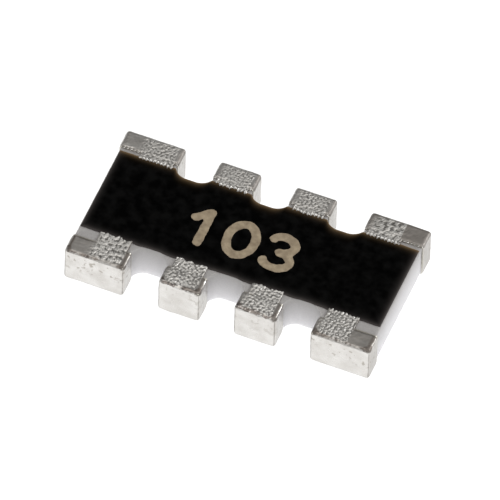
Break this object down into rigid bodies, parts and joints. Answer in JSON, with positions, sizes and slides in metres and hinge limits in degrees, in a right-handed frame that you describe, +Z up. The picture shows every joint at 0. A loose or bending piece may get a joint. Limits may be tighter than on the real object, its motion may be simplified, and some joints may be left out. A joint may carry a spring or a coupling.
{
  "type": "resistor network",
  "caption": "Surface-mount resistor network: a flat ceramic plate with notched long sides, thick-film resistors under a black overcoat, and tin-plated wrap-around terminals for soldering.",
  "frame": {"origin": "centre of the seating plane, under the middle of the plate", "axes": "+X along the rows of terminals, +Y from the near row to the far row, +Z up out of the overcoat"},
  "size_m": [0.0032, 0.0016, 0.0004],
  "materials": {
    "alumina": "matte",
    "overcoat": "satin",
    "resistor_film": "matte",
    "glass_layer": "gloss",
    "silver_print": "matte",
    "silver_edge": "satin",
    "nickel": "satin",
    "tin": "matte",
    "marking_ink": "matte"
  },
  "bodies": {
    "root": {"substrate": "alumina", "overcoat": "overcoat", "resistor_film_1": "resistor_film", "resistor_film_2": "resistor_film", "resistor_film_3": "resistor_film", "resistor_film_4": "resistor_film", "glass_layer_1": "glass_layer", "glass_layer_2": "glass_layer", "glass_layer_3": "glass_layer", "glass_layer_4": "glass_layer", "top_electrode_1": "silver_print", "top_electrode_2": "silver_print", "top_electrode_3": "silver_print", "top_electrode_4": "silver_print", "top_electrode_5": "silver_print", "top_electrode_6": "silver_print", "top_electrode_7": "silver_print", "top_electrode_8": "silver_print", "bottom_electrode_1": "silver_print", "bottom_electrode_2": "silver_print", "bottom_electrode_3": "silver_print", "bottom_electrode_4": "silver_print", "bottom_electrode_5": "silver_print", "bottom_electrode_6": "silver_print", "bottom_electrode_7": "silver_print", "bottom_electrode_8": "silver_print", "edge_electrode_1": "silver_edge", "edge_electrode_2": "silver_edge", "edge_electrode_3": "silver_edge", "edge_electrode_4": "silver_edge", "edge_electrode_5": "silver_edge", "edge_electrode_6": "silver_edge", "edge_electrode_7": "silver_edge", "edge_electrode_8": "silver_edge", "nickel_barrier_1": "nickel", "nickel_barrier_2": "nickel", "nickel_barrier_3": "nickel", "nickel_barrier_4": "nickel", "nickel_barrier_5": "nickel", "nickel_barrier_6": "nickel", "nickel_barrier_7": "nickel", "nickel_barrier_8": "nickel", "tin_terminal_1": "tin", "tin_terminal_2": "tin", "tin_terminal_3": "tin", "tin_terminal_4": "tin", "tin_terminal_5": "tin", "tin_terminal_6": "tin", "tin_terminal_7": "tin", "tin_terminal_8": "tin"}
  },
  "joints": []
}
